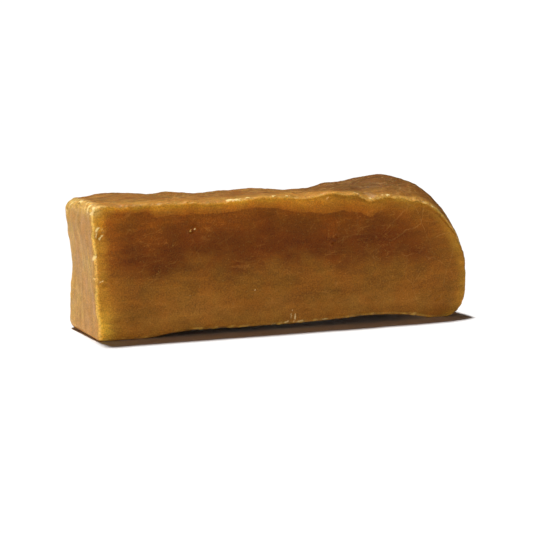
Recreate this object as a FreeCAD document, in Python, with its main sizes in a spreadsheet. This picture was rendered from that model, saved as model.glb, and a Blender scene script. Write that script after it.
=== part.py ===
import FreeCAD, Part
import math
import os
import sys
import Sketcher

# One clay bar for detailing car paint: a single lump of putty, knife-cut square
# at one end, moulded round at the other, with no other piece on it or in it.
# Frame: +X along the bar towards its round end, +Y from the long cut face to
# the back, +Z up. The origin is the middle of the bar's box, on the surface
# that the bar rests on. Millimetres throughout.

NODE = "clay_bar"

# Driving dimensions. Places along the bar start at the cut end, and heights
# start at the surface that the bar rests on. A drop is how far a point is below
# the bar's highest one. The bar is lofted through three sections: the front
# face, a shoulder some way behind it, and the rear face.
SIZES = [
    ("bar_length", 117.0, "overall length"),
    ("bar_depth", 28.0, "front face to rear face"),
    ("bar_height", 42.0, "overall height, at the crest of the rear section"),
    ("shoulder_depth", 9.0, "front face to shoulder section"),
    ("waist_height", 18.0, "height of the cut end's waist"),
    ("toe_radius", 8.5, "lower radius of the round end"),
    ("skim", 0.5, "stock cut off the underside to leave the feet flat"),
    ("left_foot", 15.2, "length of the foot at the cut end"),
    ("left_arch_run", 13.2, "length of the curve up from that foot"),
    ("belly_rise", 1.25, "height of the level stretch between the feet"),
    ("belly_length", 32.0, "length of that stretch"),
    ("arch_rise", 2.1, "height of the arch near the round end"),
    ("right_arch_run", 16.7, "length from that arch's top to the right foot"),
    ("right_foot", 3.8, "length of the foot at the round end"),
    ("front_nose_foot", 11.3, "height where the round end's upper radius starts"),
    ("front_nose_drop", 5.2, "drop of the nose's top"),
    ("front_hump_run", 18.0, "length from the nose's top to the hump"),
    ("front_hump_drop", 3.3, "drop of the hump"),
    ("front_dip", 14.0, "place of the dip near the cut end"),
    ("front_dip_drop", 5.5, "drop of the dip"),
    ("front_end_drop", 5.0, "drop of the cut end"),
    ("front_corner", 1.8, "radius of the cut end's corners"),
    ("front_waist", 0.8, "how far in the cut end's waist is"),
    ("front_lean", 1.7, "how far in the cut end's foot is"),
    ("shoulder_nose_foot", 20.7, "height where the round end's upper radius starts"),
    ("shoulder_nose_drop", 2.4, "drop of the nose's top"),
    ("shoulder_hump_run", 26.0, "length from the nose's top to the saddle"),
    ("shoulder_hump_drop", 3.3, "drop of the saddle"),
    ("shoulder_dip", 15.0, "place of the dip near the cut end"),
    ("shoulder_dip_drop", 4.1, "drop of the dip"),
    ("shoulder_end_drop", 4.4, "drop of the cut end"),
    ("shoulder_corner", 2.4, "radius of the cut end's corners"),
    ("shoulder_waist", 1.0, "how far in the cut end's waist is"),
    ("shoulder_lean", 1.4, "how far in the cut end's foot is"),
    ("rear_nose_foot", 25.0, "height where the round end's upper radius starts"),
    ("rear_nose_drop", 0.0, "drop of the nose's top, which is the crest"),
    ("rear_hump_run", 30.0, "length from the crest to the saddle"),
    ("rear_hump_drop", 3.9, "drop of the saddle"),
    ("rear_dip", 15.0, "place of the rise near the cut end"),
    ("rear_dip_drop", 3.3, "drop of that rise"),
    ("rear_end_drop", 4.3, "drop of the cut end"),
    ("rear_corner", 3.4, "radius of the cut end's corners"),
    ("rear_waist", 1.9, "how far in the cut end's waist is"),
    ("rear_lean", 0.7, "how far in the cut end's foot is"),
    ("front_round", 1.3, "rounding of the front face's edge"),
    ("rear_round", 2.4, "rounding of the rear face's edge"),
]

CLEAR = 5.0  # how far a cutting outline runs past the stock
FLAT = 1e-4  # two places closer than this are the same


def ref(alias):
    """The expression that reads one cell of the sheet."""
    return f"Sizes.{alias}"


def make_sheet(doc):
    """The spreadsheet of driving dimensions: name, value and meaning a row."""
    sheet = doc.addObject("Spreadsheet::Sheet", "Sizes")
    for row, (alias, value, meaning) in enumerate(SIZES, start=1):
        sheet.set(f"A{row}", alias)
        sheet.set(f"B{row}", str(value))
        sheet.set(f"C{row}", meaning)
        sheet.setAlias(f"B{row}", alias)
    doc.recompute()
    return sheet


def new_sketch(body, name, offset="0"):
    """A sketch on the body's XZ plane, moved towards the front by an expression."""
    sketch = body.newObject("Sketcher::SketchObject", name)
    plane = next(f for f in body.Origin.OriginFeatures if f.Role == "XZ_Plane")
    sketch.AttachmentSupport = [(plane, "")]
    sketch.MapMode = "FlatFace"
    sketch.setExpression("AttachmentOffset.Base.z", offset)
    return sketch


class Outline:
    """Draws one closed outline in a sketch and ties its corners to the sheet.

    A corner is (name, along, height): two expressions for its place. Each edge
    starts where the last one ended.
    """

    def __init__(self, sketch, first):
        self.sketch = sketch
        self.first = self.last = first
        self.ends = []

    def place(self, corner):
        """Where a corner is now, by its two expressions."""
        along, height = (
            float(self.sketch.evalExpression(text)) for text in corner[1:]
        )
        return FreeCAD.Vector(along, height, 0)

    def tie(self, edge, end, corner):
        """Fixes an edge's end at a corner, and keeps it there when a size changes."""
        point = self.place(corner)
        measures = (("X", point.x, corner[1]), ("Y", point.y, corner[2]))
        for axis, amount, text in measures:
            made = self.sketch.addConstraint(
                Sketcher.Constraint(f"Distance{axis}", -1, 1, edge, end, amount)
            )
            label = f"{corner[0]}_{axis.lower()}"
            self.sketch.renameConstraint(made, label)
            self.sketch.setExpression(f"Constraints.{label}", text)

    def join(self, edge, start, end, corner):
        """Ties the new edge's far end, and joins its near end to the last edge."""
        if self.ends:
            self.sketch.addConstraint(
                Sketcher.Constraint("Coincident", *self.ends[-1], edge, start)
            )
        else:
            self.opening = (edge, start)
        if corner == self.first:
            self.sketch.addConstraint(
                Sketcher.Constraint("Coincident", edge, end, *self.opening)
            )
        self.tie(edge, end, corner)
        self.ends.append((edge, end))
        self.last = corner

    def line(self, corner):
        """A straight edge to a corner."""
        segment = Part.LineSegment(self.place(self.last), self.place(corner))
        edge = self.sketch.addGeometry(segment, False)
        self.join(edge, 1, 2, corner)

    def arc(self, corner, at_end, way="Vertical"):
        """An arc to a corner, centred right above, below or beside one end."""
        a, b = self.place(self.last), self.place(corner)
        anchor, other = (b, a) if at_end else (a, b)
        gap = other - anchor
        if way == "Vertical":
            reach = FreeCAD.Vector(0, gap.Length ** 2 / (2 * gap.y), 0)
        else:
            reach = FreeCAD.Vector(gap.Length ** 2 / (2 * gap.x), 0, 0)
        centre = anchor + reach
        forward = (a - centre).cross(b - centre).z > 0
        first, last = (a, b) if forward else (b, a)
        circle = Part.Circle(centre, FreeCAD.Vector(0, 0, 1), reach.Length)
        begin = math.atan2(first.y - centre.y, first.x - centre.x)
        finish = math.atan2(last.y - centre.y, last.x - centre.x)
        edge = self.sketch.addGeometry(
            Part.ArcOfCircle(circle, begin, finish), False
        )
        start, end = (1, 2) if forward else (2, 1)
        self.join(edge, start, end, corner)
        anchored = end if at_end else start
        self.sketch.addConstraint(Sketcher.Constraint(way, edge, 3, edge, anchored))

    def wave(self, name, corner, way="Vertical"):
        """Two like arcs to a corner, square to the way at both ends, smooth between."""
        middle = (
            name,
            f"({self.last[1]} + {corner[1]}) / 2",
            f"({self.last[2]} + {corner[2]}) / 2",
        )
        self.arc(middle, at_end=False, way=way)
        self.arc(corner, at_end=True, way=way)


def draw_section(sketch, part):
    """One lengthwise section of the bar, drawn anticlockwise from its heel."""
    length, skim, toe_radius = ref("bar_length"), ref("skim"), ref("toe_radius")
    nose_foot, corner = ref(f"{part}_nose_foot"), ref(f"{part}_corner")
    lean, dip_place = ref(f"{part}_lean"), ref(f"{part}_dip")
    nose_level, hump_level, dip_level, end_level = (
        f"{ref('bar_height')} - {ref(f'{part}_{name}_drop')}"
        for name in ("nose", "hump", "dip", "end")
    )
    nose_place = f"{length} - ({nose_level} - {nose_foot})"
    hump_place = f"{nose_place} - {ref(part + '_hump_run')}"
    heel = ("heel", f"{lean} + {corner}", f"-{skim}")
    outline = Outline(sketch, heel)
    outline.line(("toe", f"{length} - {toe_radius}", f"-{skim}"))
    outline.arc(("toe_top", length, f"{toe_radius} - {skim}"), at_end=False)
    outline.line(("nose_foot", length, nose_foot))
    outline.arc(("nose_top", nose_place, nose_level), at_end=True)
    outline.wave("nose_to_hump", ("hump", hump_place, hump_level))
    outline.wave("hump_to_dip", ("dip", dip_place, dip_level))
    outline.wave("dip_to_crown", ("crown", corner, end_level))
    outline.arc(("end_top", "0", f"{end_level} - {corner}"), at_end=False)
    waist = ("waist", ref(f"{part}_waist"), ref("waist_height"))
    outline.wave("end_to_waist", waist, way="Horizontal")
    end_foot = ("end_foot", lean, f"{corner} - {skim}")
    outline.wave("waist_to_foot", end_foot, way="Horizontal")
    outline.arc(heel, at_end=True)


def draw_underside(sketch):
    """What is cut away below the bar: everything under its feet and its arch."""
    left = f"{ref('front_lean')} + {ref('left_foot')}"
    belly_left = f"{left} + {ref('left_arch_run')}"
    belly_right = f"{belly_left} + {ref('belly_length')}"
    right = f"{ref('bar_length')} - {ref('toe_radius')} - {ref('right_foot')}"
    far = f"{ref('bar_length')} + {CLEAR}"
    low_left = ("low_left", f"-{CLEAR}", f"-{CLEAR}")
    arch_top = ("arch_top", f"{right} - {ref('right_arch_run')}", ref("arch_rise"))
    outline = Outline(sketch, low_left)
    outline.line(("low_right", far, f"-{CLEAR}"))
    outline.line(("far_right", far, "0"))
    outline.line(("right_foot_edge", right, "0"))
    outline.arc(arch_top, at_end=True)
    outline.wave("arch_to_belly", ("belly_right", belly_right, ref("belly_rise")))
    outline.line(("belly_left", belly_left, ref("belly_rise")))
    outline.arc(("left_foot_edge", left, "0"), at_end=False)
    outline.line(("far_left", f"-{CLEAR}", "0"))
    outline.line(low_left)


def edges_where(feature, chosen):
    """Names of a feature's edges that pass a test of the edge's shape."""
    edges = feature.Shape.Edges
    return [f"Edge{n}" for n, edge in enumerate(edges, start=1) if chosen(edge)]


def in_plane(edge, axis, place):
    """Whether all of an edge lies at one place along an axis."""
    box = edge.BoundBox
    low, high = getattr(box, f"{axis}Min"), getattr(box, f"{axis}Max")
    return abs(low - place) < FLAT and abs(high - place) < FLAT


def add_fillet(doc, body, base, name, edges, radius):
    """Rounds some of a feature's edges, with the radius read from the sheet."""
    fillet = body.newObject("PartDesign::Fillet", name)
    fillet.Base = (base, edges)
    fillet.setExpression("Radius", ref(radius))
    doc.recompute()
    return fillet


def make_bar(doc, sheet):
    """The whole bar: lofted stock, its underside cut, then its edges rounded."""
    body = doc.addObject("PartDesign::Body", NODE)
    body.Label = NODE
    offsets = {
        "front": f"{ref('bar_depth')} / 2",
        "shoulder": f"{ref('bar_depth')} / 2 - {ref('shoulder_depth')}",
        "rear": f"-{ref('bar_depth')} / 2",
    }
    sections = []
    for part, offset in offsets.items():
        sketch = new_sketch(body, f"{part}_section", offset)
        draw_section(sketch, part)
        sections.append(sketch)
    doc.recompute()

    stock = body.newObject("PartDesign::AdditiveLoft", "stock")
    stock.Profile = sections[0]
    stock.Sections = sections[1:]
    stock.Ruled = False
    doc.recompute()

    cut_outline = new_sketch(body, "underside_outline")
    draw_underside(cut_outline)
    doc.recompute()
    underside = body.newObject("PartDesign::Pocket", "underside")
    underside.Profile = cut_outline
    underside.Type = "ThroughAll"
    underside.Midplane = True
    doc.recompute()

    half = float(sheet.bar_depth) / 2
    front = add_fillet(
        doc,
        body,
        underside,
        "front_edge",
        edges_where(underside, lambda e: in_plane(e, "Y", -half)),
        "front_round",
    )
    rear = add_fillet(
        doc,
        body,
        front,
        "rear_edge",
        edges_where(front, lambda e: in_plane(e, "Y", half)),
        "rear_round",
    )
    body.Tip = rear
    body.setExpression("Placement.Base.x", f"-{ref('bar_length')} / 2")
    doc.recompute()
    return body


def check(doc):
    """Stops if any object failed, because a recompute alone doesn't say so."""
    for item in doc.Objects:
        if {"Invalid", "Error"} & set(item.State):
            sys.exit(f"{item.Label} is {item.State}")


def export(body):
    """Writes one node's solid to parts/, once it is whole and valid."""
    shape = body.Shape
    if shape.isNull() or not shape.isValid() or len(shape.Solids) != 1:
        sys.exit(f"{body.Label} isn't one valid solid")
    os.makedirs("parts", exist_ok=True)
    shape.exportStep(f"parts/{body.Label}.step")
    box = shape.optimalBoundingBox(False, False)
    print(
        f"{body.Label}: {box.XLength:.2f} x {box.YLength:.2f} x {box.ZLength:.2f} mm,"
        f" x {box.XMin:.2f}..{box.XMax:.2f}, y {box.YMin:.2f}..{box.YMax:.2f},"
        f" z {box.ZMin:.2f}..{box.ZMax:.2f}, {shape.Volume / 1000:.2f} cm3"
    )


def main():
    doc = FreeCAD.newDocument("clay_bar_model")
    sheet = make_sheet(doc)
    bar = make_bar(doc, sheet)
    check(doc)
    export(bar)


main()
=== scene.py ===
import math

import bpy
import numpy as np
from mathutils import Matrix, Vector, noise


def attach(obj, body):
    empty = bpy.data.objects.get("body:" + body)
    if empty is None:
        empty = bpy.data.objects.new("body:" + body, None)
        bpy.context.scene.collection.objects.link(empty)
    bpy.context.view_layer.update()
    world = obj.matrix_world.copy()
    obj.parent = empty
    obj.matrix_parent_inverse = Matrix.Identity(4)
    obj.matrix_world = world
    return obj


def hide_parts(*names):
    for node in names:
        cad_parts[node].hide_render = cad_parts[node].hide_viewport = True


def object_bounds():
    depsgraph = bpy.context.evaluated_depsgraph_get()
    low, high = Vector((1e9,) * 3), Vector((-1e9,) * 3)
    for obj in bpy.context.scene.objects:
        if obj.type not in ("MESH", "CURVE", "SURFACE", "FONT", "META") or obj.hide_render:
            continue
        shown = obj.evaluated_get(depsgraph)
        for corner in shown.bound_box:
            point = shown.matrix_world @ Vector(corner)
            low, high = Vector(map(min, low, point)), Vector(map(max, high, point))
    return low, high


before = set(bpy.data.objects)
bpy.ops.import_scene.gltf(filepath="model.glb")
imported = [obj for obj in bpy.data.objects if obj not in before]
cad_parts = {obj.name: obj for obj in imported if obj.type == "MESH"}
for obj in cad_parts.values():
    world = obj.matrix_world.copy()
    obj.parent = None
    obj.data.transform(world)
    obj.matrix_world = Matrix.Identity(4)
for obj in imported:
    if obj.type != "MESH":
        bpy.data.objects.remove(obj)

# The clay bar's looks. The imported bar is a plain solid: here it gets the lumps,
# creases, chips and pale flakes of a real one, and a translucent amber skin. Its colour
# also holds painted light: an amber glow at the thin edges, lighter lower parts for
# light bounced up from the floor, and highlights and glints along the cut face's edges.
# The bar's lengths are in millimetres, in the model's own frame: +X towards the
# round end, -Y the long cut face, +Z up. The stage and the camera are in metres.

cad_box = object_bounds()

MM = 0.001
VOXEL = 0.43  # spacing of the sculpted mesh
SMOOTHINGS = 4  # passes that take the remesh's steps off the rounded edges
FRONT = round(cad_box[0][1] / MM, 3)  # the cut face


# ---------------------------------------------------------------- mesh helpers


def remeshed_copy(source, name):
    """A copy of a CAD node with even, closely spaced faces."""
    piece = bpy.data.objects.new(name, source.data.copy())
    bpy.context.scene.collection.objects.link(piece)
    remesh = piece.modifiers.new("even_faces", "REMESH")
    remesh.mode = "VOXEL"
    remesh.voxel_size = VOXEL * MM
    smooth = piece.modifiers.new("no_steps", "SMOOTH")
    smooth.factor = 0.5
    smooth.iterations = SMOOTHINGS
    graph = bpy.context.evaluated_depsgraph_get()
    mesh = bpy.data.meshes.new_from_object(piece.evaluated_get(graph))
    piece.modifiers.clear()
    piece.data = mesh
    mesh.name = name
    mesh.materials.clear()
    mesh.shade_smooth()
    return piece


def read_points(mesh):
    """A mesh's vertices in millimetres, and their normals."""
    points = np.empty(len(mesh.vertices) * 3)
    mesh.vertices.foreach_get("co", points)
    normals = np.empty(len(mesh.vertices) * 3)
    mesh.vertex_normals.foreach_get("vector", normals)
    return points.reshape(-1, 3) / MM, normals.reshape(-1, 3)


def write_points(mesh, points):
    """Puts a mesh's vertices at points given in millimetres."""
    mesh.vertices.foreach_set("co", (points * MM).ravel())
    mesh.update()


def write_field(mesh, name, values):
    """Keeps one number per vertex on the mesh, for the material to read."""
    layer = mesh.attributes.new(name, "FLOAT", "POINT")
    layer.data.foreach_set("value", np.ascontiguousarray(values, dtype=np.float32))


def lumps(points, size, seed, octaves=1):
    """Smooth noise from about -1 to 1, with lumps of a size in millimetres.

    The size is one number, or one along each axis.
    """
    total = np.zeros(len(points))
    weight = 1.0
    scaled = points / np.asarray(size) + np.array([seed * 7.31, seed * 3.17, seed])
    for _ in range(octaves):
        total += weight * np.array([noise.noise(p) for p in scaled.tolist()])
        scaled = scaled * 2.03 + 5.7
        weight *= 0.5
    return total


def ramp(values, low, high):
    """0 up to low, 1 from high, and a smooth step between."""
    t = np.clip((values - low) / (high - low), 0, 1)
    return t * t * (3 - 2 * t)


def bell(values, centre, half_width):
    """A smooth bump, 1 at its centre."""
    return np.exp(-(((values - centre) / half_width) ** 2))


def groove(gap, half_width, lip, lip_place):
    """A furrow, 1 deep at its middle, with a low lip some half widths away."""
    return bell(gap, 0, half_width) - lip * bell(gap, lip_place * half_width, half_width)


def path_distance(along, across, path):
    """How far each point is from a path of straight runs, in two dimensions."""
    nearest = np.full(len(along), 1e9)
    for (x0, y0), (x1, y1) in zip(path, path[1:]):
        dx, dy = x1 - x0, y1 - y0
        t = ((along - x0) * dx + (across - y0) * dy) / (dx * dx + dy * dy)
        t = np.clip(t, 0, 1)
        gap = np.hypot(along - x0 - t * dx, across - y0 - t * dy)
        nearest = np.minimum(nearest, gap)
    return nearest


# ------------------------------------------------------------------- the shape

# Rises and dips along the top, each (x, rise, half width).
FRONT_EDGE_WAVES = [
    (-50.0, 0.15, 4.0),
    (-43.0, 0.50, 5.0),
    (-35.6, 0.65, 3.2),
    (-30.0, 0.70, 3.2),
    (-17.0, 0.30, 3.0),
    (-9.0, 0.35, 4.0),
    (3.8, -0.45, 3.2),
    (13.5, 0.30, 3.0),
    (25.3, -1.10, 2.1),
    (31.9, 0.40, 2.2),
    (38.6, -0.40, 2.0),
    (46.5, 0.50, 4.0),
]
REAR_EDGE_WAVES = [
    (-50.0, 0.40, 3.5),
    (-33.9, -0.55, 3.2),
    (-20.5, -0.60, 5.0),
    (-2.5, 0.80, 5.5),
    (5.5, 0.30, 3.0),
    (22.5, 0.90, 3.6),
    (42.4, 0.30, 2.0),
    (52.0, 0.60, 3.0),
]
# Folds in the top's skin, each a path of (x, y), a depth and a half width.
TOP_CREASES = [
    ([(4, -8), (18, -6.5), (27, -3.5), (35, -5.2), (42.5, 2.0), (47, 5.5)], 0.22, 0.6),
    ([(-56, -3), (-51, -8), (-47, -13)], 0.18, 0.6),
    ([(20, 12), (28, 8), (39, 9.5)], 0.15, 0.8),
    ([(-35.5, -12), (-31.5, -2), (-28, 7), (-20, 9)], 0.22, 0.5),
]
# The lower border of the amber band under the cut face's top edge, as (x, z): the band is a
# painted glow, where light shines through the thin edge.
GLOW_BAND_BORDER = [
    (-58.0, 33.0),
    (-54.0, 33.3),
    (-51.5, 34.9),
    (-47.0, 35.0),
    (-42.5, 34.5),
    (-40.0, 33.0),
    (-35.5, 33.5),
    (-31.0, 33.4),
    (-24.0, 34.0),
    (-17.0, 34.2),
    (-12.0, 35.1),
    (-4.5, 34.9),
    (0.5, 34.1),
    (5.5, 34.1),
    (10.5, 33.1),
    (13.0, 32.5),
    (17.0, 33.8),
    (21.0, 32.9),
    (26.0, 32.8),
    (33.0, 33.6),
    (39.0, 31.9),
    (43.5, 32.9),
    (47.5, 31.6),
    (52.0, 27.0),
]
# Pale flakes on the cut face and its edges: x and z at both ends, half width. The ones along
# the top edge, at z from 37 to 39, are painted glints.
FLAKES_AND_GLINTS = [
    (-19.0, 37.4, -15.0, 37.6, 0.55),
    (-13.2, 37.8, -12.4, 38.0, 0.26),
    (-5.4, 38.0, -4.4, 38.2, 0.24),
    (-1.0, 38.1, 0.2, 38.2, 0.26),
    (2.4, 38.0, 4.4, 37.9, 0.30),
    (11.4, 37.0, 11.9, 37.2, 0.28),
    (18.5, 38.8, 22.5, 38.0, 0.22),
    (22.5, 38.0, 25.9, 36.6, 0.34),
    (29.6, 37.3, 30.6, 37.7, 0.20),
    (31.2, 37.4, 32.6, 37.5, 0.36),
    (43.2, 35.0, 44.4, 34.6, 0.24),
    (46.0, 33.8, 47.0, 33.2, 0.26),
    (-57.2, 28.4, -57.0, 30.6, 0.34),
    (-57.0, 30.6, -56.2, 31.2, 0.30),
    (-56.3, 28.0, -55.4, 28.9, 0.26),
    (-58.2, 34.6, -57.4, 36.4, 0.42),
    (-58.0, 21.8, -57.2, 23.6, 0.36),
    (-58.4, 17.0, -57.4, 17.3, 0.30),
    (-56.3, 16.2, -55.5, 16.7, 0.28),
    (-29.2, 29.6, -28.9, 29.8, 0.20),
    (-30.6, 11.5, -30.2, 11.6, 0.20),
    (-11.2, 11.8, -10.9, 11.9, 0.20),
    (0.2, 3.0, 0.5, 5.6, 0.22),
    (1.2, 2.0, 1.5, 4.0, 0.26),
    (-1.6, 1.8, -0.6, 2.2, 0.30),
    (2.4, 1.9, 4.2, 2.2, 0.28),
    (-6.0, 1.5, -4.6, 1.8, 0.22),
    (10.2, 2.0, 11.8, 2.2, 0.22),
]
# Pale flakes along the cut end's edges: y and z at both ends, half width.
END_FLAKES = [
    (-11.6, 35.4, -10.4, 38.2, 0.62),
    (-7.6, 35.6, -6.2, 37.4, 0.36),
    (-2.0, 37.0, 1.6, 37.2, 0.50),
    (7.4, 36.9, 8.8, 35.6, 0.62),
    (10.6, 33.0, 10.9, 34.0, 0.40),
    (11.2, 8.4, 11.8, 10.0, 0.36),
]
# Gouges in the cut face, each a path of (x, z), a depth and a half width.
FRONT_GOUGES = [
    ([(-30.3, 28.7), (-29.3, 29.3)], 0.70, 0.32),
    ([(-56.2, 28.9), (-55.9, 30.0)], 0.50, 0.60),
    ([(-55.2, 15.4), (-54.2, 15.8)], 0.30, 0.35),
    ([(13.2, 24.2), (14.0, 24.8)], 0.35, 0.35),
    ([(14.6, 26.0), (15.0, 26.4)], 0.25, 0.30),
    ([(48.0, 5.6), (50.0, 6.6)], 0.30, 0.40),
]


# Roughness of each kind of surface: amount, size of its lumps, seed, octaves.
SKIN_LUMPS = [(0.32, 13, 1, 1), (0.18, 4.5, 2, 2), (0.09, 1.7, 3, 2)]
FRONT_LUMPS = [(0.10, (26, 26, 9), 4, 1), (0.045, 4, 5, 2), (0.018, 1.3, 6, 1)]
END_LUMPS = [(0.12, (5, 4, 14), 7, 2), (0.05, (3, 1.2, 9), 8, 1), (0.02, 1.5, 9, 1)]
RIM_LUMPS = [(0.34, (4, 2.3, 4), 14, 2)]
TOP_SINK = 0.22  # how far the top is lowered, to make room for its waves
NOSE_BULGE = 0.45  # how far the round end's middle is pushed out
END_LEAN = 0.40  # how far the cut end's top leans in, behind its front corner
CHIP_DEPTH = 0.38  # the larger bites out of the cut face's edges
NIBBLE_DEPTH = 0.07  # the finer unevenness of those edges
BURR_RISE = 0.26  # the crumbs that stand out under the lower edge
# The rise below also gives each painted glint on the top edge a small lip.
FLAKE_RISE = 0.12  # how far a pale flake stands out


def sculpt(points, normals):
    """Moves the bar's points to give it its real surface. Returns new points."""
    x, y, z = points.T
    facing_front = ramp(-normals[:, 1], 0.80, 0.97) * ramp(-y, 12.8, 13.9)
    facing_end = ramp(-normals[:, 0], 0.75, 0.95)
    facing_top = ramp(normals[:, 2], 0.25, 0.75)
    skin = 1 - np.maximum(facing_front, facing_end)
    high = ramp(z, 22, 35)
    off_floor = ramp(z, 0.25, 1.6)
    moved = points.copy()

    rise = np.zeros(len(points))
    for place, amount, width in FRONT_EDGE_WAVES:
        rise += amount * bell(x, place, width) * bell(y, FRONT, 5.5)
    for place, amount, width in REAR_EDGE_WAVES:
        rise += amount * bell(x, place, width) * bell(y, 10.0, 9.0)
    rise += 0.22 * lumps(points, (3.2, 9, 60), 11, 2) * ramp(-y, 6, 13)
    moved[:, 2] += (rise - TOP_SINK) * high
    moved[:, 0] += NOSE_BULGE * ramp(x, 46, 57) * bell(z, 17, 11)
    moved[:, 0] += END_LEAN * ramp(-x, 50, 57) * ramp(z, 30, 35) * ramp(y, -10, 0)
    end_rear = ramp(y, 6, 13) * ramp(-x, 46, 55)
    moved[:, 0] -= 0.45 * lumps(points, (60, 30, 5), 12, 2) * end_rear * ramp(z, 2, 5)
    end_front = ramp(-y, 10, 13.5) * ramp(-x, 52, 57)
    moved[:, 0] -= 0.35 * lumps(points, (60, 8, 3), 13, 2) * end_front * ramp(z, 2, 5)

    end_rim = ramp(-x, 53, 56.5) * ramp(z, 32, 35.5)
    out = np.zeros(len(points))
    for table, share in (
        (SKIN_LUMPS, skin),
        (FRONT_LUMPS, facing_front),
        (END_LUMPS, facing_end),
        (RIM_LUMPS, end_rim),
    ):
        for amount, size, seed, octaves in table:
            out += amount * lumps(points, size, seed, octaves) * share

    for path, depth, width in TOP_CREASES:
        gap = path_distance(x, y, path)
        out -= depth * groove(gap, width, 0.45, 2.1) * facing_top
    for path, depth, width in FRONT_GOUGES:
        gap = path_distance(x, z, path)
        out -= depth * groove(gap, width, 0.35, 2.0) * ramp(-y, 12.5, 13.6)

    moved += normals * (out * off_floor)[:, None]
    return moved


def find_flakes_and_glints(points):
    """Where the pale flakes and painted glints are: 1 on one, and 0 away from them."""
    x, y, z = points.T
    shown = np.zeros(len(points))
    for x0, z0, x1, z1, width in FLAKES_AND_GLINTS:
        gap = path_distance(x, z, [(x0, z0), (x1, z1)])
        shown = np.maximum(shown, bell(gap, 0, width))
    shown *= ramp(-y, 12.2, 12.9)
    on_end = ramp(-x, 55.5, 57)
    for y0, z0, y1, z1, width in END_FLAKES:
        gap = path_distance(y, z, [(y0, z0), (y1, z1)])
        shown = np.maximum(shown, bell(gap, 0, width) * on_end)
    return shown * (0.85 + 0.5 * lumps(points, 0.9, 31))


def chip_depths(points, normals):
    """How deep the small chips in the bar's sharp edges are; burrs are negative."""
    x, y, z = points.T
    near_front = ramp(-y, 11.8, 13.4)
    turning = ramp(1 - np.abs(normals).max(axis=1), 0.02, 0.12) * near_front
    bite = ramp(lumps(points, 2.3, 21, 2), 0.05, 0.75)
    small = lumps(points, 0.9, 22)
    underneath = turning * ramp(-normals[:, 2], 0.08, 0.4) * ramp(z, 0.3, 1)
    burr = underneath * ramp(lumps(points, (1.7, 4, 4), 23), 0, 0.6)
    return CHIP_DEPTH * bite * turning - NIBBLE_DEPTH * small * turning - BURR_RISE * burr


bar = remeshed_copy(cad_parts["clay_bar"], "moulded_clay_bar")
rest_points, rest_normals = read_points(bar.data)
write_points(bar.data, sculpt(rest_points, rest_normals))
sculpted, sculpted_normals = read_points(bar.data)
chips = chip_depths(sculpted, sculpted_normals)
sculpted -= sculpted_normals * chips[:, None]
# Where the pale flakes and painted glints are, each raised a little.
flake_and_glint_marks = find_flakes_and_glints(sculpted)
sculpted += sculpted_normals * (FLAKE_RISE * flake_and_glint_marks)[:, None]
sculpted[:, 2] = np.maximum(sculpted[:, 2], 0.0)
write_points(bar.data, sculpted)


# ------------------------------------------------------ fields for the material


def outline(at, height, step, pick):
    """The highest or lowest height in each step along a line, to interpolate."""
    bins = np.round(at / step).astype(int)
    places = np.unique(bins)
    heights = np.array([pick(height[bins == place]) for place in places])
    return places * step, heights


x, y, z = rest_points.T
on_front = (y < FRONT + 0.3) & (rest_normals[:, 1] < -0.9)
top_line = outline(x[on_front], z[on_front], 1.0, np.max)
low_line = outline(x[on_front], z[on_front], 1.0, np.min)
left_line = outline(z[on_front], x[on_front], 1.0, np.min)
right_line = outline(z[on_front], x[on_front], 1.0, np.max)
# How far below the top edge the painted glow band reaches.
edge_height = np.interp(x, *top_line)
band_width = np.maximum(edge_height - np.interp(x, *np.array(GLOW_BAND_BORDER).T), 1.2)
write_field(bar.data, "band", (edge_height - z) / band_width)
write_field(bar.data, "over_low", z - np.interp(x, *low_line))
write_field(bar.data, "from_left", x - np.interp(z, *left_line))
write_field(bar.data, "from_right", np.interp(z, *right_line) - x)
facing_front, facing_end = -rest_normals[:, 1], -rest_normals[:, 0]
facing_up = rest_normals[:, 2]
tilted = facing_front - 0.3 * np.maximum(facing_up, 0)
write_field(bar.data, "cut_face", ramp(tilted, 0.35, 0.75) * ramp(-y, 12, 13.2))
write_field(bar.data, "cut_end", ramp(facing_end, 0.80, 0.97) * ramp(-x, 50, 54))
near_edge = ramp(facing_up, 0.15, 0.6) * ramp(-y, 4, 12)
write_field(bar.data, "glowing_edge", near_edge * ramp(-x, -60, -5))
# A painted highlight along the cut face's edges, full at the cut end and stronger right of
# the middle.
turning = ramp(facing_front, 0.25, 0.6) * ramp(-facing_front, -0.97, -0.80)
turning *= ramp(-y, 11.5, 13) * np.where(x < -54, 1, 0.25 + 0.3 * ramp(x, -15, 8))
write_field(bar.data, "corner", turning)
write_field(bar.data, "flake_and_glint_marks", flake_and_glint_marks)
behind_crest = ramp(x, 8, 24) * ramp(y, -13.4, -10) * ramp(facing_up, 0.2, 0.7)
write_field(bar.data, "rear_slope", behind_crest)
write_field(bar.data, "end_side", ramp(y, 4, 12))
write_field(bar.data, "chipped", chips * np.where(chips > 0, ramp(z, 4, 7), 1))
write_field(bar.data, "end_top", ramp(-x, 54.5, 57) * ramp(z, 33, 36.5))


# ---------------------------------------------------------------- the material


def srgb(red, green, blue):
    """A colour on the 0 to 255 screen scale, as the linear one that nodes take."""
    def linear(level):
        level /= 255
        return level / 12.92 if level <= 0.04045 else ((level + 0.055) / 1.055) ** 2.4
    return (linear(red), linear(green), linear(blue), 1)


# Inside the cut face, from its core to its borders. Its lower part is lighter with painted
# light, bounced up from the floor.
CORE, ABOVE_CORE = srgb(105, 51, 2), srgb(130, 70, 7)
BELOW_CORE_BOUNCE, NEAR_FLOOR_BOUNCE = srgb(135, 83, 20), srgb(158, 102, 34)
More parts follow.
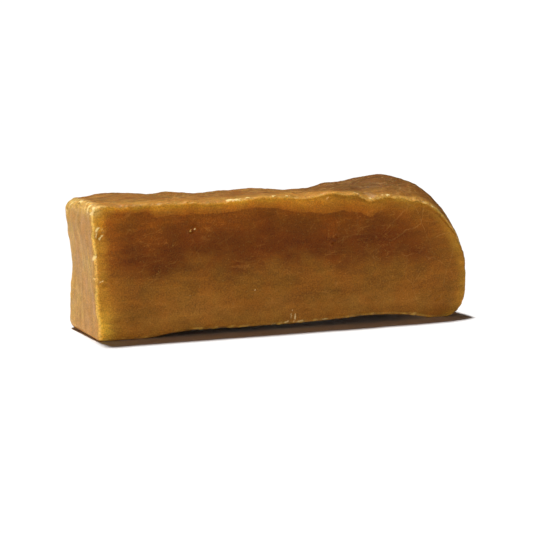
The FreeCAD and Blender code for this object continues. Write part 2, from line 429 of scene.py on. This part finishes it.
# The cut face's amber borders: a painted glow, where light shines through the thin edges.
ROUND_END_GLOW, ROUND_RIM_GLOW = srgb(138, 84, 20), srgb(180, 126, 36)
LEFT_GLOW_HIGH, LEFT_GLOW_LOW = srgb(160, 90, 18), srgb(178, 118, 34)
LEFT_EDGE_GLOW, LEFT_MIDDLE_GLOW, LEFT_TOP_GLOW = srgb(214, 160, 50), srgb(180, 124, 35), srgb(196, 133, 34)
BAND_GLOW_LOW, BAND_GLOW_MIDDLE, BAND_GLOW_TOP = srgb(152, 88, 18), srgb(176, 112, 26), srgb(192, 134, 38)
LAYER, CRACK, HAIR = srgb(184, 124, 54), srgb(196, 146, 76), srgb(190, 136, 66)
# The skin on the top, back and round end.
SKIN_DARK, SKIN_PALE, SKIN_BROAD = srgb(122, 77, 30), srgb(170, 119, 52), srgb(140, 89, 34)
SKIN_SLOPE, SKIN_FOLD_HIGHLIGHT, SKIN_GLOW = srgb(100, 60, 20), srgb(194, 152, 92), srgb(186, 130, 50)
# The cut end.
END_DARK, END_PALE, END_BROAD = srgb(166, 117, 54), srgb(194, 151, 77), srgb(180, 129, 66)
END_SIDE, END_TOP = srgb(194, 148, 68), srgb(204, 166, 92)
# Edges, specks and flakes: a painted highlight along the cut face's edges, pale chips, burrs
# and specks, and pale flakes, the ones on the top edge being painted glints.
CORNER_HIGHLIGHT, CHIP, BURR = srgb(214, 168, 84), srgb(222, 176, 96), srgb(220, 176, 92)
SPECK, FLAKE_AND_GLINT = srgb(226, 190, 130), srgb(238, 210, 142)
COOL_TINT, WARM_TINT = (0.97, 1.02, 1.02, 1), (1.04, 0.985, 0.92, 1)


class Tree:
    """Short names for making and joining a material's nodes."""

    def __init__(self, material):
        material.use_nodes = True
        self.nodes = material.node_tree.nodes
        self.links = material.node_tree.links
        self.nodes.clear()

    def set(self, socket, value):
        """Joins a socket to another one, or gives it a plain value."""
        if isinstance(value, bpy.types.NodeSocket):
            self.links.new(value, socket)
        elif value is not None:
            socket.default_value = value

    def field(self, name):
        """One of the numbers kept on the mesh."""
        node = self.nodes.new("ShaderNodeAttribute")
        node.attribute_name = name
        return node.outputs["Fac"]

    def math(self, operation, a, b=None, c=None):
        """Arithmetic on numbers."""
        node = self.nodes.new("ShaderNodeMath")
        node.operation = operation
        for socket, value in zip(node.inputs, (a, b, c)):
            self.set(socket, value)
        return node.outputs[0]

    def add(self, a, b):
        """The sum of two numbers."""
        return self.math("ADD", a, b)

    def times(self, a, b):
        """The product of two numbers."""
        return self.math("MULTIPLY", a, b)

    def swing(self, value, width):
        """A number from 0 to 1, made to go half a width to either side of 0."""
        return self.math("MULTIPLY_ADD", value, width, -width / 2)

    def step(self, value, low, high, out_low=0.0, out_high=1.0):
        """A smooth step of a value between two levels."""
        node = self.nodes.new("ShaderNodeMapRange")
        node.interpolation_type = "SMOOTHSTEP"
        levels = (value, low, high, out_low, out_high)
        for socket, level in zip(node.inputs, levels):
            self.set(socket, level)
        return node.outputs[0]

    def contours(self, value, count, width):
        """Thin lines where a number from 0 to 1 passes some even levels."""
        saw = self.math("PINGPONG", self.times(value, count), 0.5)
        return self.step(saw, width, 0.0)

    def mix(self, factor, a, b, blend="MIX"):
        """Two colours mixed."""
        node = self.nodes.new("ShaderNodeMix")
        node.data_type = "RGBA"
        node.blend_type = blend
        self.set(node.inputs["Factor"], factor)
        self.set(node.inputs[6], a)
        self.set(node.inputs[7], b)
        return node.outputs[2]

    def place(self, stretch=(1, 1, 1), turn=(0, 0, 0)):
        """The point's own place in millimetres, turned and then squeezed."""
        source = self.nodes.new("ShaderNodeTexCoord")
        node = self.nodes.new("ShaderNodeMapping")
        node.vector_type = "TEXTURE"
        node.inputs["Scale"].default_value = [MM / amount for amount in stretch]
        node.inputs["Rotation"].default_value = [math.radians(a) for a in turn]
        self.links.new(source.outputs["Object"], node.inputs["Vector"])
        return node.outputs[0]

    def noise(self, size, detail=3, vector=None, roughness=0.55, distortion=0.0):
        """Noise from 0 to 1 with lumps of a size in millimetres."""
        node = self.nodes.new("ShaderNodeTexNoise")
        self.set(node.inputs["Vector"], vector or self.place())
        node.inputs["Scale"].default_value = 1 / size
        node.inputs["Detail"].default_value = detail
        node.inputs["Roughness"].default_value = roughness
        node.inputs["Distortion"].default_value = distortion
        return node.outputs["Fac"]

    def cracks(self, size, warp):
        """Distance to the borders of warped cells, in parts of a cell."""
        vector = self.place()
        wobble = self.nodes.new("ShaderNodeTexNoise")
        self.set(wobble.inputs["Vector"], vector)
        wobble.inputs["Scale"].default_value = 1.3 / size
        wobble.inputs["Detail"].default_value = 4
        shift = self.nodes.new("ShaderNodeVectorMath")
        shift.operation = "MULTIPLY_ADD"
        self.links.new(wobble.outputs["Color"], shift.inputs[0])
        shift.inputs[1].default_value = (warp, warp, warp)
        self.links.new(vector, shift.inputs[2])
        cells = self.nodes.new("ShaderNodeTexVoronoi")
        cells.feature = "DISTANCE_TO_EDGE"
        cells.inputs["Scale"].default_value = 1 / size
        self.links.new(shift.outputs[0], cells.inputs["Vector"])
        return cells.outputs["Distance"]

    def dots(self, size):
        """Distance to scattered points, in parts of a cell, and each one's colour."""
        cells = self.nodes.new("ShaderNodeTexVoronoi")
        cells.inputs["Scale"].default_value = 1 / size
        self.set(cells.inputs["Vector"], self.place())
        return cells.outputs["Distance"], cells.outputs["Color"]


def shared_noises(tree):
    """The noises that more than one part of the material reads."""
    return {
        "broad": tree.noise(9, 3),
        "medium": tree.noise(3.2, 4, distortion=0.4),
        "grain": tree.noise(0.7, 2, roughness=0.7),
        "drift": tree.noise(24, 2),
        "drawn": tree.noise(2.4, 3, tree.place((0.22, 1, 1))),
    }


def swaying_height(tree, noises):
    """The height over the cut face's lower edge, made uneven."""
    sway = tree.add(tree.swing(noises["broad"], 13.0), tree.swing(noises["drift"], 8.0))
    sway = tree.add(tree.field("over_low"), sway)
    return tree.add(sway, tree.swing(noises["medium"], 3.4))


def cut_face_colour(tree, noises, height):
    """A dark core, made lighter below by painted floor bounce, inside a painted amber glow at
    its borders.
    """
    from_left, from_right = tree.field("from_left"), tree.field("from_right")
    over_low = tree.field("over_low")
    wobble = tree.swing(noises["medium"], 3.4)
    colour = tree.mix(tree.step(height, 22.0, 34.0), CORE, ABOVE_CORE)
    # Lighter towards the floor: painted light bounced up from the floor.
    colour = tree.mix(tree.step(height, 21.0, 12.0), colour, BELOW_CORE_BOUNCE)
    colour = tree.mix(tree.step(height, 11.0, 1.0), colour, NEAR_FLOOR_BOUNCE)

    # The soft border along the round end: a painted glow of light through the thin rim.
    inward = tree.add(from_right, wobble)
    soft_right = tree.step(inward, 20.0, 3.0)
    colour = tree.mix(tree.times(soft_right, 0.7), colour, ROUND_END_GLOW)
    rim_right = tree.step(inward, 5.0, -1.0)
    colour = tree.mix(tree.times(rim_right, 0.85), colour, ROUND_RIM_GLOW)

    # The soft border along the cut end, with a crisp one at its very edge: a painted glow of
    # light through the thin edge.
    combed = tree.noise(1.5, 3, tree.place((0.12, 1, 1)))
    reach = tree.swing(combed, 5.0)
    soft_left = tree.step(tree.add(from_left, reach), 10.5, 1.0)
    left_glow = tree.mix(tree.step(over_low, 22.0, 6.0), LEFT_GLOW_HIGH, LEFT_GLOW_LOW)
    colour = tree.mix(tree.times(soft_left, 0.85), colour, left_glow)
    crisp_left = tree.step(tree.add(from_left, tree.add(wobble, reach)), 4.4, 0.6)
    off_middle = tree.math("ABSOLUTE", tree.math("SUBTRACT", over_low, 18.0))
    left_amber_glow = tree.mix(tree.step(off_middle, 16.0, 8.0), LEFT_EDGE_GLOW, LEFT_MIDDLE_GLOW)
    left_amber_glow = tree.mix(tree.step(over_low, 25.0, 33.0), left_amber_glow, LEFT_TOP_GLOW)

    # The crisp wavy band under the top edge, brightest right of the middle: a painted glow of
    # light through the thin top edge.
    within = tree.add(tree.field("band"), tree.swing(noises["medium"], 0.5))
    amber = tree.mix(tree.step(within, 1.0, 0.25), BAND_GLOW_LOW, BAND_GLOW_MIDDLE)
    amber = tree.mix(tree.step(within, 0.42, 0.0), amber, BAND_GLOW_TOP)
    tone = tree.step(from_right, 8.0, 26.0, 0.78, 1.26)
    tone = tree.times(tone, tree.step(from_right, 44.0, 58.0, 1.0, 0.92))
    tone = tree.times(tone, tree.step(from_right, 64.0, 84.0, 1.0, 0.86))
    amber = tree.mix(1.0, amber, tone, "MULTIPLY")
    solid = tree.step(noises["drift"], 0.35, 0.6, 0.62, 0.92)
    colour = tree.mix(tree.times(tree.step(within, 1.08, 0.94), solid), colour, amber)
    return tree.mix(crisp_left, colour, left_amber_glow)


def with_inner_lines(tree, noises, colour):
    """The cut face with the fine layers, cracks and hairs seen through it."""
    layers = tree.noise(5, 3, tree.place((0.30, 1, 1), (0, -5, 0)), distortion=0.5)
    shown = tree.step(noises["broad"], 0.35, 0.6)
    line = tree.times(tree.contours(layers, 9.0, 0.07), shown)
    colour = tree.mix(tree.times(line, 0.24), colour, LAYER)
    crack = tree.step(tree.cracks(9, 2.5), 0.022, 0.0)
    crack = tree.times(crack, tree.step(noises["drawn"], 0.38, 0.6))
    amount = tree.step(tree.field("from_right"), 34.0, 8.0, 0.06, 0.20)
    colour = tree.mix(tree.times(crack, amount), colour, CRACK)
    hairs = tree.noise(4, 2, tree.place((0.22, 1, 1), (0, -46, 0)))
    hair = tree.times(tree.contours(hairs, 7.0, 0.05), tree.step(noises["medium"], 0.45, 0.6))
    return tree.mix(tree.times(hair, 0.15), colour, HAIR)


def skin_colour(tree, noises):
    """The patchy, folded skin on the top, back and round end."""
    patches = tree.noise(1.5, 4, tree.place((0.55, 1, 0.8), (0, -6, 18)), 0.65)
    skin = tree.mix(tree.step(patches, 0.3, 0.75), SKIN_DARK, SKIN_PALE)
    skin = tree.mix(tree.step(noises["broad"], 0.4, 0.65), skin, SKIN_BROAD)
    skin = tree.mix(tree.times(tree.field("rear_slope"), 0.75), skin, SKIN_SLOPE)
    # Pale lines on the skin's folds: painted highlights on their ridges.
    folds = tree.noise(2.6, 4, tree.place((0.3, 1, 1), (0, 0, 22)), distortion=0.8)
    skin = tree.mix(tree.times(tree.contours(folds, 5.0, 0.10), 0.38), skin, SKIN_FOLD_HIGHLIGHT)
    uneven = tree.step(patches, 0.2, 0.7, 0.35, 0.85)
    return tree.mix(tree.times(tree.field("glowing_edge"), uneven), skin, SKIN_GLOW)


def cut_end_colour(tree, noises):
    """The paler cut end, streaked from top to bottom."""
    streaks = tree.noise(2.2, 4, tree.place((1, 1, 0.16), (-8, 0, 0)), distortion=0.3)
    colour = tree.mix(tree.step(streaks, 0.3, 0.7), END_DARK, END_PALE)
    colour = tree.mix(tree.step(noises["broad"], 0.35, 0.6), colour, END_BROAD)
    return tree.mix(tree.times(tree.field("end_side"), 0.6), colour, END_SIDE)


def with_pale_rim_and_edge_highlight(tree, noises, colour):
    """The surface with a paler rim at the cut end's top, and a painted highlight along the
    cut face's edges.
    """
    rim = tree.step(noises["grain"], 0.3, 0.6, 0.3, 0.85)
    colour = tree.mix(tree.times(tree.field("end_top"), rim), colour, END_TOP)
    # The painted highlight along the cut face's edges, broken up by the grain.
    edge = tree.step(noises["grain"], 0.25, 0.6, 0.25, 0.85)
    return tree.mix(tree.times(tree.field("corner"), edge), colour, CORNER_HIGHLIGHT)


def mottled(tree, noises, colour, height):
    """The surface in uneven light and dark, and in warmer and cooler patches."""
    cut_end = tree.field("cut_end")
    quiet = tree.step(cut_end, 0.0, 1.0, 1.0, 0.7)
    cloud = tree.noise(3.2, 4, tree.place((0.38, 1, 1), (0, -5, 0)), 0.58, 0.7)
    clouds = tree.times(tree.step(cloud, 0.3, 0.7, -0.12, 0.12), quiet)
    clouds = tree.times(clouds, tree.step(height, 24.0, 12.0, 1.0, 1.15))
    fine = tree.times(tree.step(noises["grain"], 0.25, 0.75, -0.14, 0.14), quiet)
    lines = tree.step(noises["drawn"], 0.3, 0.7, -0.07, 0.07)
    tooth = tree.step(tree.noise(0.4, 1), 0.3, 0.7, -0.20, 0.20)
    shade = tree.add(tree.add(clouds, fine), tree.add(lines, tooth))
    colour = tree.mix(1.0, colour, tree.add(shade, 1.0), "MULTIPLY")
    tint = tree.mix(tree.step(tree.noise(6, 3), 0.38, 0.62), COOL_TINT, WARM_TINT)
    return tree.mix(tree.step(cut_end, 0.0, 1.0, 1.0, 0.35), colour, tint, "MULTIPLY")


def with_flakes_and_glints(tree, noises, colour):
    """The surface with its pale specks, flakes, chips and burrs, and painted glints along the
    top edge.
    """
    speck_gap, speck_pick = tree.dots(2.6)
    chosen = tree.step(speck_pick, 0.80, 0.82)
    speck = tree.times(tree.step(speck_gap, 0.13, 0.06), chosen)
    colour = tree.mix(tree.times(speck, 0.35), colour, SPECK)
    flake_and_glint_marks = tree.add(tree.field("flake_and_glint_marks"), tree.swing(tree.noise(0.5, 2), 1.4))
    # Pale flakes, and painted glints along the top edge.
    colour = tree.mix(tree.times(tree.step(flake_and_glint_marks, 0.35, 0.75), 0.85), colour, FLAKE_AND_GLINT)
    chipped = tree.field("chipped")
    colour = tree.mix(tree.step(chipped, 0.10, 0.32, 0.0, 0.35), colour, CHIP)
    torn = tree.math("MULTIPLY_ADD", noises["grain"], 0.16, chipped)
    return tree.mix(tree.step(torn, 0.07, -0.02, 0.0, 0.7), colour, BURR)


def fine_relief(tree, noises):
    """A bumped normal, for relief too fine for the mesh."""
    height = tree.times(noises["grain"], 0.10)
    height = tree.math("MULTIPLY_ADD", noises["medium"], 0.25, height)
    height = tree.math("MULTIPLY_ADD", noises["drawn"], 0.12, height)
    bump = tree.nodes.new("ShaderNodeBump")
    bump.inputs["Strength"].default_value = 0.5
    bump.inputs["Distance"].default_value = 0.5 * MM
    tree.set(bump.inputs["Height"], height)
    return bump.outputs[0]


def clay_material():
    """Translucent putty: dark in its core, amber where light gets through."""
    material = bpy.data.materials.new("translucent_amber_clay")
    tree = Tree(material)
    noises = shared_noises(tree)
    height = swaying_height(tree, noises)
    face = with_inner_lines(tree, noises, cut_face_colour(tree, noises, height))
    colour = tree.mix(tree.field("cut_face"), skin_colour(tree, noises), face)
    colour = tree.mix(tree.field("cut_end"), colour, cut_end_colour(tree, noises))
    colour = with_pale_rim_and_edge_highlight(tree, noises, colour)
    colour = mottled(tree, noises, colour, height)
    colour = with_flakes_and_glints(tree, noises, colour)

    shader = tree.nodes.new("ShaderNodeBsdfPrincipled")
    tree.set(shader.inputs["Base Color"], colour)
    tree.set(shader.inputs["Roughness"], tree.step(noises["medium"], 0.25, 0.75, 0.42, 0.60))
    tree.set(shader.inputs["Normal"], fine_relief(tree, noises))
    shader.inputs["IOR"].default_value = 1.45
    shader.inputs["Specular IOR Level"].default_value = 0.13
    shader.inputs["Subsurface Weight"].default_value = 0.25
    shader.inputs["Subsurface Radius"].default_value = (1.0, 0.42, 0.12)
    shader.inputs["Subsurface Scale"].default_value = 2.5 * MM
    output = tree.nodes.new("ShaderNodeOutputMaterial")
    tree.links.new(shader.outputs[0], output.inputs["Surface"])
    return material


bar.data.materials.append(clay_material())
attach(bar, "root")
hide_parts("clay_bar")


# ------------------------------------------------------------------- the stage


def plain_material(name, colour, roughness):
    """A material of one colour."""
    material = bpy.data.materials.new(name)
    tree = Tree(material)
    shader = tree.nodes.new("ShaderNodeBsdfPrincipled")
    shader.inputs["Base Color"].default_value = colour
    shader.inputs["Roughness"].default_value = roughness
    shader.inputs["Specular IOR Level"].default_value = 0.1
    output = tree.nodes.new("ShaderNodeOutputMaterial")
    tree.links.new(shader.outputs[0], output.inputs["Surface"])
    return material


def add_rectangle(name, corners, material):
    """A flat four-cornered sheet that is part of the stage."""
    mesh = bpy.data.meshes.new(name)
    mesh.from_pydata(corners, [], [(0, 1, 2, 3)])
    mesh.materials.append(material)
    sheet = bpy.data.objects.new(name, mesh)
    bpy.context.scene.collection.objects.link(sheet)


def add_sun(name, turn, height, spread, strength):
    """A far light: degrees round from +X, degrees above the floor, and its spread."""
    data = bpy.data.lights.new(name, "SUN")
    data.angle = math.radians(spread)
    data.energy = strength
    turn, height = math.radians(turn), math.radians(height)
    flat = math.cos(height)
    towards = Vector((flat * math.cos(turn), flat * math.sin(turn), math.sin(height)))
    sun = bpy.data.objects.new(name, data)
    sun.rotation_euler = (-towards).to_track_quat("-Z", "Y").to_euler()
    bpy.context.scene.collection.objects.link(sun)


FLOOR_HALF = 3.0  # from the bar to the floor's edges
FLOOR_GREY = (0.86, 0.86, 0.86, 1)
add_rectangle(
    "pale_floor",
    [
        (-FLOOR_HALF, -FLOOR_HALF, 0),
        (FLOOR_HALF, -FLOOR_HALF, 0),
        (FLOOR_HALF, FLOOR_HALF, 0),
        (-FLOOR_HALF, FLOOR_HALF, 0),
    ],
    plain_material("pale_floor", FLOOR_GREY, roughness=0.8),
)

ROOM_WHITE = 1.02  # the room's brightness, as the camera sees it
ROOM_LIGHT = 0.015  # its brightness, as it lights the bar and the floor
world = bpy.data.worlds.new("soft_white_room")
bpy.context.scene.world = world
world.use_nodes = True
background = world.node_tree.nodes["Background"]
background.inputs["Color"].default_value = (1, 1, 1, 1)
light_path = world.node_tree.nodes.new("ShaderNodeLightPath")
strength = world.node_tree.nodes.new("ShaderNodeMath")
strength.operation = "MULTIPLY_ADD"
strength.inputs[1].default_value = ROOM_WHITE - ROOM_LIGHT
strength.inputs[2].default_value = ROOM_LIGHT
world.node_tree.links.new(light_path.outputs["Is Camera Ray"], strength.inputs[0])
world.node_tree.links.new(strength.outputs[0], background.inputs["Strength"])

add_sun("key_above_behind", turn=101, height=75.5, spread=6, strength=4.0)
add_sun("low_left", turn=190, height=1.2, spread=2.4, strength=1.15)
add_sun("low_front", turn=243, height=1.2, spread=2.4, strength=1.05)

# The camera stands in front, to the left, and looks a little down at the bar.
CAMERA_PLACE = (-0.1590, -0.3608, 0.0647)
YAW, PITCH = math.radians(23.6), math.radians(-6.99)
LENS, SENSOR = 91.2, 36
camera_data = bpy.data.cameras.new("camera")
camera_data.lens = LENS
camera_data.sensor_width = SENSOR
camera_data.clip_start = 0.01
camera = bpy.data.objects.new("camera", camera_data)
camera.location = CAMERA_PLACE
look = Vector(
    (math.sin(YAW) * math.cos(PITCH), math.cos(YAW) * math.cos(PITCH), math.sin(PITCH))
)
camera.rotation_euler = look.to_track_quat("-Z", "Y").to_euler()
bpy.context.scene.collection.objects.link(camera)
bpy.context.scene.camera = camera
bpy.context.scene.view_settings.view_transform = "Standard"
